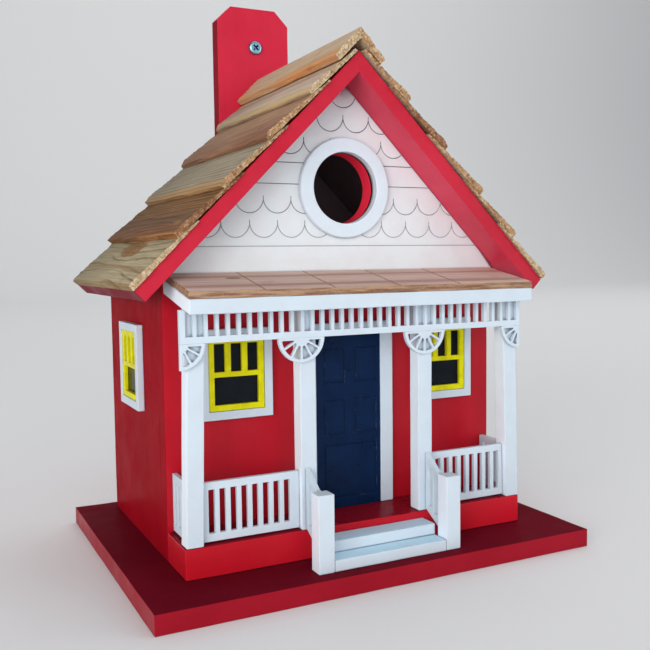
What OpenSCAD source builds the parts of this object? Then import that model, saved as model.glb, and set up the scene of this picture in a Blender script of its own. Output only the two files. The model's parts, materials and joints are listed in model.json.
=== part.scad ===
// Painted wooden birdhouse built as a small cottage: a gabled nest chamber on a base board, with a
// cedar-shingled roof, a railed front porch with steps, a hanging board at the back and a clean-out
// door in the back wall.
//
// Frame: +X is the house's right seen from the front, +Y is the back, +Z is up.
// Origin: centre of the underside of the base board. Millimetres.

/* [Base and house] */
// Width of the base board
base_w = 241; // [236:1:260]
// Depth of the base board, front to back
base_d = 179; // [178:1:200]
// Thickness of the base board, the walls and the hanging board
board_t = 9.5; // [8:0.5:11]
// Width of the house over its side walls
house_w = 194.4; // [190:0.2:200]
// Depth of the house, front wall to back wall
house_d = 110.6; // [106:0.2:116]
// Diameter of the four drain holes in the floor
drain_d = 6; // [4:1:8]

/* [Roof] */
// Height of the ridge of the roof boards above the underside of the base
ridge_z = 262; // [256:1:268]
// Thickness of a roof board
roof_t = 7.5; // [6:0.5:9]
// Half width of the roof at the eaves
eave_x = 116.6; // [112:0.2:118]
// Overhang of the roof boards in front of the front wall
roof_over = 24.2; // [18:0.2:28]
// Courses of shingles on each slope
courses = 5; // [5:1:5]
// Exposed length of each course, measured down the slope
exposure = 32.4; // [30:0.2:33]
// Whole length of a shingle, measured down the slope
shingle_len = 45; // [42:1:48]
// Thickness of a shingle at its butt end
butt_t = 3.8; // [3:0.1:4]
// Thickness of a shingle at its thin end
tip_t = 0.8; // [0.5:0.1:1]
// Overhang of the shingles beyond the roof boards, at the front and at the eaves
shingle_over = 2; // [1:0.2:3]
// Width of the underside of a ridge cap, from the ridge down the slope
cap_w = 12.5; // [10:0.5:16]
// Height of the underside of a ridge cap above the roof board
cap_lift = 4; // [3.8:0.1:4.5]

/* [Gable] */
// Thickness of the scored gable panel
gable_t = 3.5; // [1.5:0.5:4]
// Width of one fish-scale in the gable panel
scale_w = 15.25; // [14:0.05:16]
// Distance of the fish-scale pattern's centre line from the middle
scale_x = 1.2; // [-2:0.1:2]
// Width of a scored line
score_w = 0.5; // [0.4:0.1:1]
// Depth of a scored line
score_depth = 0.5; // [0.3:0.1:0.8]
// Distance of the entrance hole's centre from the middle
hole_x = 1.1; // [-2:0.1:2]
// Height of the centre of the entrance hole
hole_z = 195.5; // [190:0.5:200]
// Diameter of the entrance hole
hole_d = 37.2; // [32:0.2:40]
// Outer diameter of the ring round the entrance hole
ring_d = 52; // [48:0.2:56]
// Thickness of that ring
ring_t = 3; // [2:0.5:6]

/* [Porch] */
// Height of the porch deck above the base board
deck_h = 15; // [12:1:18]
// Depth of the porch deck in front of the front wall
porch_d = 29; // [26:1:32]
// Side of a square porch post
post_w = 8.4; // [7:0.2:9]
// Place of the foot of the outer left post, along the front
post_1_x = -92.2; // [-93:0.1:-91]
// Place of the inner left post
post_2_x = -32.9; // [-36:0.1:-30]
// Place of the inner right post
post_3_x = 35.3; // [33:0.1:37]
// Place of the foot of the outer right post
post_4_x = 93; // [91:0.1:93]
// Lean of the two outer posts towards the middle, per unit of height
post_lean = 0.025; // [0:0.001:0.03]
// Overhang of the porch roof in front of the front wall
porch_over = 41; // [38:1:44]
// Half width of the porch roof
porch_roof_x = 96.4; // [94:0.2:98]
// Height of the lower front edge of the porch roof
porch_z = 134.3; // [132:0.1:137]
// Height of the white front edge of the porch roof
porch_fascia = 7.3; // [6:0.1:9]
// Slope of the porch roof, in degrees
porch_slope = 11.5; // [9:0.5:13]
// Thickness of the brown slab on the porch roof
slab_t = 3.3; // [2:0.1:4]
// Distance between the scored joints of that slab
slab_pitch = 36.4; // [34:0.2:38]

/* [Frieze and fans] */
// Height of the underside of the frieze
frieze_z = 120.6; // [119:0.2:122]
// Length of the frieze
frieze_w = 193.8; // [190:0.2:196]
// Distance of its centre from the middle
frieze_x = -1.1; // [-2:0.1:2]
// Thickness of the frieze, the fans and the railings
lattice_t = 2.4; // [2:0.1:3.5]
// Slots in the frieze
frieze_slots = 35; // [35:1:35]
// Distance between two frieze slots
frieze_pitch = 5.44; // [5.4:0.01:5.5]
// Width of a frieze slot
frieze_slot = 3.7; // [2.8:0.1:4]
// Outer radius of a fan
fan_r = 12.2; // [11:0.1:13]
// Place of the half fan at the inner left post
fan_left_x = -37; // [-38:0.1:-35]
// Place of the half fan at the inner right post
fan_right_x = 33.9; // [33:0.1:36]
// Width of a fan's rim
fan_rim = 1.7; // [1.2:0.1:2]
// Radius of a fan's hub
fan_hub = 4.2; // [3:0.1:5]

/* [Railings and steps] */
// Height of the railings above the deck
rail_h = 29.6; // [26:0.2:32]
// Slots in a front railing
rail_slots = 8; // [8:1:8]
// Distance between two railing slots
rail_pitch = 5.55; // [5.3:0.05:5.7]
// Width of a railing slot
rail_slot = 3.2; // [2:0.1:3.5]
// Middle of the slots in the left front railing
rail_left_x = -63.2; // [-66:0.1:-60]
// Middle of the slots in the right front railing
rail_right_x = 64.7; // [61:0.1:68]
// Place of the left newel post
newel_left_x = -34.8; // [-36:0.1:-34]
// Place of the right newel post
newel_right_x = 37.5; // [35:0.1:38]
// Height of the top of a newel post above the underside of the base
newel_z = 47.6; // [44:0.2:50]
// Distance of the newel posts' front face from the deck's front face
newel_out = 22.4; // [21:0.2:24]
// Height of one step
step_h = 5.7; // [5:0.1:7]
// Distance of the upper step's front from the deck's front
upper_step_d = 11.9; // [9:0.1:13]
// Distance of the lower step's front from the deck's front
lower_step_d = 22.3; // [20:0.1:24]

/* [Door and windows] */
// Width of the front door
door_w = 39; // [37:0.1:40]
// Distance of the door's centre from the middle
door_x = 3.2; // [2:0.1:5]
// Height of the front door
door_h = 93.4; // [90:0.2:96]
// Width of the door casing's members
door_casing_w = 7.7; // [7:0.1:10]
// Width of the door casing over the door
door_head = 6.7; // [4:0.1:10]
// Outer width of a window casing
window_w = 38.6; // [37:0.2:40]
// Outer height of a window casing
window_h = 45.6; // [44:0.1:47]
// Height of a window's lower edge above the underside of the base
window_z = 78.7; // [76:0.1:80]
// Height of the underside of a side window's casing
side_window_z = 79.5; // [76:0.1:80]
// Place of the left front window
window_left_x = -60.3; // [-61:0.1:-58]
// Place of the right front window
window_right_x = 63.8; // [62:0.1:67]
// Width of a window casing's members
window_frame = 4.3; // [4:0.1:5]
// Thickness of a casing
casing_t = 3.6; // [3:0.1:4]
// Thickness of a sash
sash_t = 2.2; // [1.5:0.1:2.4]
// Thickness of a window pane
pane_t = 0.8; // [0.6:0.1:1]

/* [Hanging board] */
// Width of the hanging board
hang_w = 47.8; // [44:0.2:50]
// Distance of its centre from the middle
hang_x = -2.3; // [-3:0.1:3]
// Height of its top above the underside of the base
hang_top = 317; // [310:1:325]
// Height of its lower end
hang_bottom = 112; // [108:1:120]
// Size of its corner chamfers
hang_chamfer = 9; // [6:0.5:12]
// Place of the mounting screw, along the front
screw_x = -1.5; // [-3:0.1:3]
// Height of the mounting screw
screw_z = 292.6; // [288:0.2:300]
// Diameter of the mounting screw over its thread, behind the board
screw_d = 4.2; // [4:0.1:5]
// Diameter of its plain shank, inside the board
shank_d = 3.8; // [3.6:0.1:4]
// Length of the mounting screw under its head
screw_len = 38; // [34:1:45]

/* [Clean-out door] */
// Height of the pivot of the clean-out door
pivot_z = 95; // [90:1:96]
// Diameter of the pivot pins
pivot_d = 2.4; // [2:0.1:3]
// Radial clearance of the pins in the door and of the turn button on its screw
running_gap = 0.06; // [0.03:0.01:0.1]
// Gap round the clean-out door
door_gap = 0.5; // [0.4:0.1:0.8]
// Height of the turn button's screw
button_z = 46; // [40:1:60]
// Distance from that screw to the far end of the turn button
button_arm = 24; // [20:1:28]
// Width of the turn button
button_w = 8; // [7:0.5:9]

/* [Hidden] */
$fn = 64;

red = [0.66, 0.08, 0.14];
white = [0.86, 0.90, 0.94];
yellow = [0.88, 0.83, 0.03];
navy = [0.05, 0.11, 0.25];
black = [0.08, 0.10, 0.13];
cedar = [0.72, 0.60, 0.44];
brown = [0.56, 0.42, 0.36];
zinc = [0.68, 0.78, 0.85];
steel = [0.72, 0.73, 0.75];

// Places along Y.
y_back = base_d / 2 - board_t;
y_wall = y_back - house_d;
y_deck = y_wall - porch_d;
y_roof = y_wall - roof_over;
y_porch = y_wall - porch_over;
y_post = y_deck + 0.3;
y_newel = y_deck - newel_out;
y_rail = y_post + 3;

// Heights.
z_deck = board_t + deck_h;
under_z = ridge_z - roof_t * sqrt(2);
slab_z = porch_z + porch_fascia + (y_wall - y_porch) * tan(porch_slope) + slab_t;
frieze_top = porch_z + (y_post - lattice_t - y_porch) * tan(porch_slope) - 0.1;

// Half widths.
half_w = house_w / 2;
inner_x = half_w - board_t;

// Shingles: distances are measured down the slope from the ridge of the roof boards.
butt_1 = eave_x * sqrt(2) + 0.6 * shingle_over;
shingle_gap = 0.1;
top_tip = 1.5;

// Engraved pattern of the gable panel.
scale_r = scale_w / 2;
cusp_drop = 1.2;
scale_rows = [[237.2, 0], [224.7, 1], [212.2, 0], [182.0, 1], [169.7, 0]];
score_lines = [207.8, 196.9, 165.3];

// Front door: [left, bottom, width, height] of each routed panel, from the door's lower left corner.
door_t = 3;
routed_w = 1.1;
routed_panels = [
    [4.4, 68, 12.8, 19], [23, 68, 13.6, 19],
    [4.4, 40, 12.8, 19.6], [23, 40, 13.6, 19.6],
    [4.4, 5.5, 32.2, 29.6]
];

// Windows: lights of a sash.
window_fit = 0.1;
sash_stile = 3.1;
sash_rail = 3;
mid_rail = 2.6;
muntin = 3;
lower_light = 14;
front_window_x = [window_left_x, window_right_x];
side_window_y = y_wall + house_d / 2 + 1.5;

// Clean-out door and its turn button.
cleanout_t = board_t - 0.3;
pivot_y = y_back - 0.3 - cleanout_t / 2;
cleanout_x = inner_x - door_gap;
cleanout_bottom = board_t + 0.6;
cleanout_top = pivot_z + cleanout_t / 2 + 0.6;
pin_in_wall = 6;
pin_in_door = 11.5;
button_x = -(half_w - board_t / 2);
button_t = 4;
button_screw_d = 3.2;
button_lift = 0.3;

// Extrudes an outline drawn in X and Z from y0 to y1.
module along_y(y0, y1) {
    translate([0, y1, 0]) rotate([90, 0, 0]) linear_extrude(y1 - y0) children();
}

// Extrudes an outline drawn in Y and Z from x0 to x1.
module along_x(x0, x1) {
    translate([x0, 0, 0]) rotate([90, 0, 90]) linear_extrude(x1 - x0) children();
}

// A box between two corners.
module block(low, high) {
    translate(low) cube(high - low);
}

// Copies the right-hand shape to the left.
module both_sides() {
    children();
    mirror([1, 0, 0]) children();
}

// A round bar along +Y from y0 to y1.
module rod_y(r, y0, y1) {
    translate([0, y1, 0]) rotate([90, 0, 0]) cylinder(r = r, h = y1 - y0);
}

// ---- Base, walls and gable ----

module base_board() {
    color(red) difference() {
        block([-base_w / 2, -base_d / 2, 0], [base_w / 2, base_d / 2, board_t]);
        for (x = [-1, 1], y = [y_wall + 24, y_back - 34])
            translate([x * (inner_x - 14), y, -1]) cylinder(d = drain_d, h = board_t + 2);
    }
}

module porch_deck() {
    color(red) block([-half_w, y_deck, board_t], [half_w, y_wall, z_deck]);
}

// Right-hand side wall, with its top cut to the roof and a blind hole for a pivot pin.
module side_wall() {
    difference() {
        along_y(y_wall + board_t, y_back) polygon([
            [inner_x, board_t], [half_w, board_t], [half_w, under_z - half_w], [inner_x, under_z - inner_x]
        ]);
        translate([inner_x - 1, pivot_y, pivot_z]) rotate([0, 90, 0])
            cylinder(d = pivot_d, h = pin_in_wall + 1);
    }
}

module left_wall() {
    color(red) difference() {
        mirror([1, 0, 0]) side_wall();
        translate([button_x, 0, button_z]) rod_y(button_screw_d / 2, y_back - 12, y_back + 1);
    }
}

module right_wall() {
    color(red) side_wall();
}

module front_wall() {
    color(red) difference() {
        along_y(y_wall, y_wall + board_t) polygon([
            [-half_w, board_t], [half_w, board_t], [half_w, under_z - half_w],
            [0, under_z], [-half_w, under_z - half_w]
        ]);
        translate([hole_x, 0, hole_z]) rod_y(hole_d / 2, y_wall - 1, y_wall + board_t + 1);
    }
}

module back_wall() {
    color(red) difference() {
        along_y(y_back - board_t, y_back) polygon([
            [-inner_x, cleanout_top], [inner_x, cleanout_top], [inner_x, under_z - inner_x],
            [0, under_z], [-inner_x, under_z - inner_x]
        ]);
        board_screw_places() rod_y(1.75, y_back - 7.5, y_back + 1);
    }
}

// One fish-scale: the lower part of a ring, cut off level just below its middle.
module fish_scale() {
    intersection() {
        difference() {
            circle(r = scale_r + score_w / 2);
            circle(r = scale_r - score_w / 2);
        }
        translate([-scale_w, -scale_w]) square([2 * scale_w, scale_w - cusp_drop]);
    }
}

// The outline of the gable panel, pulled in by a margin. It reaches down behind the porch roof's slab.
module gable_outline(margin) {
    low = slab_z - slab_t;
    polygon([
        [-half_w + margin, low], [half_w - margin, low], [half_w - margin, under_z - half_w],
        [0, under_z - margin], [-half_w + margin, under_z - half_w]
    ]);
}

// Rows of fish-scales with a short stem above each cusp, and level lines between them.
module gable_score() {
    intersection() {
        union() {
            for (row = scale_rows) {
                reach = floor((under_z - row[0]) / scale_w);
                translate([scale_x + row[1] * scale_r, row[0] + scale_r]) for (i = [-reach:reach]) {
                    translate([i * scale_w, 0]) fish_scale();
                    translate([i * scale_w - scale_r - score_w / 2, -cusp_drop - 0.3])
                        square([score_w, cusp_drop + 1.4]);
                }
            }
            for (z = score_lines)
                translate([-house_w, z - score_w / 2]) square([2 * house_w, score_w]);
        }
        gable_outline(score_w);
    }
}

module gable_panel() {
    color(white) difference() {
        along_y(y_wall - gable_t, y_wall) gable_outline(0);
        along_y(y_wall - gable_t - 1, y_wall - gable_t + score_depth) difference() {
            gable_score();
            translate([hole_x, hole_z]) circle(d = ring_d - 1);
        }
        translate([hole_x, 0, hole_z]) rod_y(hole_d / 2, y_wall - gable_t - 2, y_wall + 1);
    }
}

// Ring with rounded front edges.
module entrance_ring() {
    mid_r = (ring_d + hole_d) / 4;
    round_r = 0.8;
    color(white) translate([hole_x, y_wall - gable_t, hole_z]) rotate([90, 0, 0]) rotate_extrude($fn = 96) {
        translate([hole_d / 2, 0]) square([ring_d / 2 - hole_d / 2, ring_t - round_r]);
        translate([hole_d / 2 + 0.5, 0]) square([ring_d / 2 - hole_d / 2 - 0.5 - round_r, ring_t]);
        translate([ring_d / 2 - round_r, ring_t - round_r]) circle(r = round_r, $fn = 32);
        translate([hole_d / 2 + 0.5, ring_t - 0.5]) circle(r = 0.5, $fn = 32);
        translate([hole_d / 2, 0]) square([mid_r - hole_d / 2, ring_t - 0.5]);
    }
}

// ---- Roof ----

module roof_panel() {
    cut = roof_t / sqrt(2);
    along_y(y_roof, y_back) polygon([
        [0, ridge_z], [eave_x, ridge_z - eave_x], [eave_x - cut, ridge_z - eave_x - cut], [0, under_z]
    ]);
}

module roof_panel_right() {
    color(red) roof_panel();
}

module roof_panel_left() {
    color(red) mirror([1, 0, 0]) roof_panel();
}

// A point at distance s down the right-hand slope and height h above the roof board.
function slope_point(s, h) = [(s + h) / sqrt(2), ridge_z + (h - s) / sqrt(2)];

// Thickness of a shingle at distance d above its butt end.
function shingle_t(d) = butt_t - (butt_t - tip_t) * d / shingle_len;

// Height of a course's butt end above the roof board: it rests on the course below.
function lift(course) = course == 1
    ? shingle_gap
    : lift(course - 1) * (1 - exposure / shingle_len) + shingle_t(exposure) + shingle_gap;

// Height of the underside of a course at distance d above its butt end.
function underside(course, d) = shingle_gap + (lift(course) - shingle_gap) * (1 - d / shingle_len);

module shingle(course) {
    butt = butt_1 - (course - 1) * exposure;
    len = min(shingle_len, butt - top_tip);
    along_y(y_roof - shingle_over, y_back) polygon([
        slope_point(butt, underside(course, 0)),
        slope_point(butt, underside(course, 0) + butt_t),
        slope_point(butt - len, underside(course, len) + shingle_t(len)),
        slope_point(butt - len, underside(course, len))
    ]);
}

module shingle_right(course) {
    color(cedar) shingle(course);
}

module shingle_left(course) {
    color(cedar) mirror([1, 0, 0]) shingle(course);
}

module ridge_cap() {
    top = cap_lift + butt_t;
    along_y(y_roof - shingle_over, y_back) polygon([
        [0, ridge_z + cap_lift * sqrt(2)], slope_point(cap_w, cap_lift), slope_point(cap_w, top),
        [0, ridge_z + top * sqrt(2)]
    ]);
}

module ridge_cap_right() {
    color(cedar) ridge_cap();
}

module ridge_cap_left() {
    color(cedar) mirror([1, 0, 0]) ridge_cap();
}

// ---- Porch roof and frieze ----

// A band of the porch roof between two heights above its lower face, as far back as y.
module porch_roof_band(low, high, y) {
    rise = (y - y_porch) * tan(porch_slope);
    polygon([
        [y_porch, porch_z + low], [y, porch_z + rise + low],
        [y, porch_z + rise + high], [y_porch, porch_z + high]
    ]);
}

module porch_roof_board() {
    color(white) along_x(-porch_roof_x, porch_roof_x) porch_roof_band(0, porch_fascia, y_wall);
}

// The slab's top is scored across, front to back, into five boards.
module porch_roof_slab() {
    color(brown) difference() {
        along_x(-porch_roof_x, porch_roof_x)
            porch_roof_band(porch_fascia, porch_fascia + slab_t, y_wall - gable_t);
        for (i = [0:3])
            translate([-60 + i * slab_pitch, 0, 0]) along_x(0, score_w)
                porch_roof_band(porch_fascia + slab_t - score_depth, porch_fascia + slab_t + 1, y_wall);
    }
}

module frieze() {
    first = -((frieze_slots - 1) * frieze_pitch + frieze_slot) / 2;
    height = frieze_top - frieze_z;
    color(white) along_y(y_post - lattice_t, y_post) translate([frieze_x, frieze_z]) difference() {
        translate([-frieze_w / 2, 0]) square([frieze_w, height]);
        for (i = [0:frieze_slots - 1])
            translate([first + i * frieze_pitch, 3.1]) square([frieze_slot, height - 4.1]);
    }
}

// A whole fan wheel, centred on the origin: rim, hub and a spoke every 30 degrees.
module fan_wheel() {
    difference() {
        circle(r = fan_r);
        circle(r = fan_r - fan_rim);
    }
    circle(r = fan_hub);
    for (a = [0:30:330])
        rotate(a) translate([0, -0.5]) square([fan_r - fan_rim / 2, 1]);
}

// Half a fan hanging below a straight bar.
module half_fan() {
    bar = 1.2;
    intersection() {
        union() {
            fan_wheel();
            translate([-fan_r, -bar]) square([2 * fan_r, bar]);
        }
        intersection() {
            circle(r = fan_r);
            translate([-fan_r, -fan_r]) square([2 * fan_r, fan_r]);
        }
    }
}

module half_fans() {
    color(white) for (x = [fan_left_x, fan_right_x])
        along_y(y_post - lattice_t, y_post) translate([x, frieze_z]) half_fan();
}

// Quarter fans fill the outer corners under the frieze, each with an upright at its outer edge.
module quarter_fans() {
    color(white) translate([frieze_x, 0, 0]) both_sides() along_y(y_post - lattice_t, y_post)
        translate([frieze_w / 2, frieze_z]) intersection() {
            union() {
                half_fan();
                translate([-1.4, -fan_r]) square([1.4, fan_r]);
            }
            translate([-fan_r, -fan_r]) square([fan_r, fan_r]);
        }
}

// ---- Posts, railings and steps ----

// A porch post with its foot centred on x and a lean to the right, its top cut to the porch roof.
module porch_post(x, lean) {
    y_end = y_post + post_w;
    half = post_w / 2;
    top = porch_z + (y_end - y_porch) * tan(porch_slope);
    move = (top + 1 - z_deck) * lean;
    color(white) intersection() {
        along_x(x - 2 * post_w, x + 2 * post_w) polygon([
            [y_post, z_deck], [y_end, z_deck], [y_end, top],
            [y_post, porch_z + (y_post - y_porch) * tan(porch_slope)]
        ]);
        along_y(y_post - 1, y_end + 1) polygon([
            [x - half, z_deck], [x + half, z_deck], [x + half + move, top + 1], [x - half + move, top + 1]
        ]);
    }
}

module post_outer_left() { porch_post(post_1_x, post_lean); }
module post_inner_left() { porch_post(post_2_x, 0); }
module post_inner_right() { porch_post(post_3_x, 0); }
module post_outer_right() { porch_post(post_4_x, -post_lean); }

// Outline of a flat railing of a given length with upright slots, from its lower corner.
module railing_outline(length, slots, middle) {
    span = (slots - 1) * rail_pitch + rail_slot;
    difference() {
        square([length, rail_h - 0.9]);
        for (i = [0:slots - 1])
            translate([middle - span / 2 + i * rail_pitch, 3.9]) square([rail_slot, rail_h - 8.5]);
    }
}

// A railing between two posts, given by the places of their feet; it ends at the outer one's leaning face.
module front_railing(left, right, middle) {
    start = left + post_w / 2;
    end = right - post_w / 2;
    translate([start, 0, 0]) along_y(y_rail, y_rail + lattice_t) translate([0, z_deck + 0.9])
        railing_outline(end - start, rail_slots, middle - start);
}

module front_railing_left() {
    color(white) difference() {
        front_railing(post_1_x, post_2_x, rail_left_x);
        post_outer_left();
    }
}

module front_railing_right() {
    color(white) difference() {
        front_railing(post_3_x, post_4_x, rail_right_x);
        post_outer_right();
    }
}

// The short railing between the outer post and the front wall on the right.
module side_railing() {
    x = half_w - 3.1;
    start = y_post + post_w;
    length = y_wall - start;
    along_x(x - lattice_t, x) translate([start, z_deck + 0.9]) railing_outline(length, 3, length / 2);
}

module side_railing_right() {
    color(white) side_railing();
}

module side_railing_left() {
    color(white) mirror([1, 0, 0]) side_railing();
}

// Sloping side of the steps, between an inner post and a newel, centred on x.
module stair_rail(x) {
    y_end = y_newel + post_w;
    run = y_post - y_end;
    drop = z_deck + rail_h + 1.9 - newel_z;
    color(white) along_x(x - lattice_t / 2, x + lattice_t / 2) difference() {
        polygon([
            [y_post, z_deck + 1.2], [y_end, z_deck + 1.2 - drop],
            [y_end, newel_z - 0.6], [y_end + 3, newel_z - 0.2], [y_post, newel_z + drop]
        ]);
        for (i = [0, 1]) {
            y = y_post - 4.2 - i * 5.2;
            fall = (y_post - y) * drop / run;
            translate([y - rail_slot / 2, z_deck + 5.6 - fall])
                square([rail_slot, newel_z + drop - z_deck - 11]);
        }
    }
}

module stair_rail_right() { stair_rail((post_3_x + newel_right_x) / 2); }
module stair_rail_left() { stair_rail((post_2_x + newel_left_x) / 2); }

module newel(x) {
    color(white) block([x - post_w / 2, y_newel, board_t], [x + post_w / 2, y_newel + post_w, newel_z]);
}

module newel_right() { newel(newel_right_x); }
module newel_left() { newel(newel_left_x); }

// A step between the newels, from the deck out to a distance, between two heights.
module step(out, low, high) {
    margin = post_w / 2 + 0.15;
    color(white) block([newel_left_x + margin, y_deck - out, low], [newel_right_x - margin, y_deck, high]);
}

module lower_step() { step(lower_step_d, board_t, board_t + step_h); }
module upper_step() { step(upper_step_d, board_t + step_h, board_t + 2 * step_h); }

// ---- Front door and windows ----

module front_door() {
    color(navy) difference() {
        block([door_x - door_w / 2, y_wall - door_t, z_deck], [door_x + door_w / 2, y_wall, z_deck + door_h]);
        along_y(y_wall - door_t - 1, y_wall - door_t + score_depth) translate([door_x - door_w / 2, z_deck])
            for (p = routed_panels) difference() {
                translate([p[0], p[1]]) square([p[2], p[3]]);
                translate([p[0] + routed_w, p[1] + routed_w])
                    square([p[2] - 2 * routed_w, p[3] - 2 * routed_w]);
            }
    }
}

module door_casing() {
    outer = door_w + 2 * door_casing_w;
    color(white) along_y(y_wall - casing_t, y_wall) translate([door_x, z_deck]) difference() {
        translate([-outer / 2, 0]) square([outer, door_h + door_head]);
        translate([-door_w / 2, -1]) square([door_w, door_h + 1]);
    }
}

// Window outlines have their origin at the middle of the casing's lower edge.
module casing_outline() {
    difference() {
        translate([-window_w / 2, 0]) square([window_w, window_h]);
        translate([-window_w / 2 + window_frame, window_frame])
            square([window_w - 2 * window_frame, window_h - 2 * window_frame]);
    }
}

module pane_outline() {
    edge = window_frame + window_fit;
    translate([-window_w / 2 + edge, edge]) square([window_w - 2 * edge, window_h - 2 * edge]);
}

// Three narrow lights over one wide light.
module sash_outline() {
    edge = window_frame + window_fit + sash_stile;
    base = window_frame + window_fit + sash_rail;
    wide = window_w - 2 * edge;
    narrow = (wide - 2 * muntin) / 3;
    upper = base + lower_light + mid_rail;
    difference() {
        pane_outline();
        translate([-wide / 2, base]) square([wide, lower_light]);
        for (i = [0:2])
            translate([-wide / 2 + i * (narrow + muntin), upper])
                square([narrow, window_h - window_frame - window_fit - sash_rail - upper]);
    }
}

// Places a window outline on the front wall at x, between two depths in front of the wall.
module on_front(x, near, far) {
    translate([x, 0, window_z]) along_y(y_wall - far, y_wall - near) children();
}

// Places a window outline on the left wall, between two depths outside the wall.
module on_left(near, far) {
    translate([0, side_window_y, side_window_z]) along_x(-half_w - far, -half_w - near) children();
}

module casing_front_left() { color(white) on_front(front_window_x[0], 0, casing_t) casing_outline(); }
module casing_front_right() { color(white) on_front(front_window_x[1], 0, casing_t) casing_outline(); }
module casing_side_left() { color(white) on_left(0, casing_t) casing_outline(); }
module casing_side_right() { mirror([1, 0, 0]) casing_side_left(); }

module front_sash(x) { color(yellow) on_front(x, pane_t, pane_t + sash_t) sash_outline(); }
module sash_front_left() { front_sash(front_window_x[0]); }
module sash_front_right() { front_sash(front_window_x[1]); }
module sash_side_left() { color(yellow) on_left(pane_t, pane_t + sash_t) sash_outline(); }
module sash_side_right() { mirror([1, 0, 0]) sash_side_left(); }

module window_panes() {
    color(black) {
        for (x = front_window_x)
            on_front(x, 0, pane_t) pane_outline();
        both_sides() on_left(0, pane_t) pane_outline();
    }
}

// ---- Hanging board and screws ----

module mounting_board() {
    half = hang_w / 2;
    color(red) difference() {
        along_y(y_back, y_back + board_t) translate([hang_x, 0]) polygon([
            [-half, hang_bottom], [half, hang_bottom], [half, hang_top - hang_chamfer],
            [half - hang_chamfer, hang_top], [-half + hang_chamfer, hang_top], [-half, hang_top - hang_chamfer]
        ]);
        translate([screw_x, 0, screw_z]) rod_y(shank_d / 2, y_back - 1, y_back + board_t + 1);
        board_screw_places() board_screw();
    }
}

// Pan-head screw with a cross recess, driven through the hanging board from the front.
module mounting_screw() {
    head_r = 4.1;
    head_h = 2.5;
    dome_r = 1.2;
    tip = 7;
    y_end = y_back + screw_len;
    color(zinc) translate([screw_x, 0, screw_z]) {
        difference() {
            translate([0, y_back, 0]) rotate([90, 0, 0]) rotate_extrude() {
                square([head_r, head_h - dome_r]);
                square([head_r - dome_r, head_h]);
                translate([head_r - dome_r, head_h - dome_r]) circle(r = dome_r, $fn = 32);
            }
            for (a = [45, 135])
                translate([0, y_back - head_h, 0]) rotate([0, a, 0]) cube([4.4, 3.2, 1.1], center = true);
        }
        rod_y(shank_d / 2, y_back, y_back + board_t);
        rod_y(screw_d / 2, y_back + board_t, y_end - tip);
        translate([0, y_end, 0]) rotate([90, 0, 0]) cylinder(r1 = 0.3, r2 = screw_d / 2, h = tip);
    }
}

// The two places where the hanging board is screwed to the back wall.
module board_screw_places() {
    for (z = [132, 222])
        translate([0, 0, z]) children();
}

// Countersunk screw whose head is flush with the back of the hanging board.
module board_screw() {
    y_face = y_back + board_t;
    rod_y(1.75, y_back - 7.5, y_face);
    translate([0, y_face, 0]) rotate([90, 0, 0]) cylinder(r1 = 3.6, r2 = 1.75, h = 2.6);
}

module board_screws() {
    color(steel) board_screw_places() board_screw();
}

// ---- Clean-out door ----

// Bottom-opening panel with a round top edge, a blind pin hole in each end and a finger groove.
module cleanout_door() {
    r = cleanout_t / 2;
    reach = pin_in_door + door_gap;
    color(red) difference() {
        union() {
            block(
                [-cleanout_x, pivot_y - r, cleanout_bottom],
                [cleanout_x, pivot_y + r, pivot_z]
            );
            translate([-cleanout_x, pivot_y, pivot_z]) rotate([0, 90, 0]) cylinder(r = r, h = 2 * cleanout_x);
        }
        both_sides() translate([cleanout_x - reach, pivot_y, pivot_z]) rotate([0, 90, 0])
            cylinder(r = pivot_d / 2 + running_gap, h = reach + 1);
        block([-30, pivot_y + r - 3, cleanout_bottom + 8], [30, pivot_y + r + 1, cleanout_bottom + 15]);
    }
}

module pivot_pins() {
    color(steel) both_sides() translate([inner_x + pin_in_wall, pivot_y, pivot_z]) rotate([0, -90, 0])
        cylinder(d = pivot_d, h = pin_in_wall + door_gap + pin_in_door);
}

// Flat bar with round ends that hangs from its screw and turns a quarter turn over the door's edge.
module turn_button() {
    r = button_w / 2;
    y0 = y_back + button_lift;
    reach = button_arm - r;
    color(red) translate([button_x, 0, button_z]) difference() {
        union() {
            rod_y(r, y0, y0 + button_t);
            translate([0, 0, -reach]) rod_y(r, y0, y0 + button_t);
            block([-r, y0, -reach], [r, y0 + button_t, 0]);
        }
        rod_y(button_screw_d / 2 + running_gap, y0 - 1, y0 + button_t + 1);
    }
}

module turn_button_screw() {
    y_head = y_back + button_lift + button_t + 0.2;
    color(steel) translate([button_x, 0, button_z]) {
        rod_y(button_screw_d / 2, y_back - 12, y_head);
        difference() {
            rod_y(3.1, y_head, y_head + 1.8);
            translate([0, y_head + 1.8, 0]) cube([8, 1.6, 0.9], center = true);
        }
    }
}

// Cleat on the floor that the closed clean-out door rests against.
module door_stop() {
    y1 = pivot_y - cleanout_t / 2 - 0.3;
    color(red) block([-inner_x + 8, y1 - 6, board_t], [inner_x - 8, y1, board_t + 6]);
}

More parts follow.
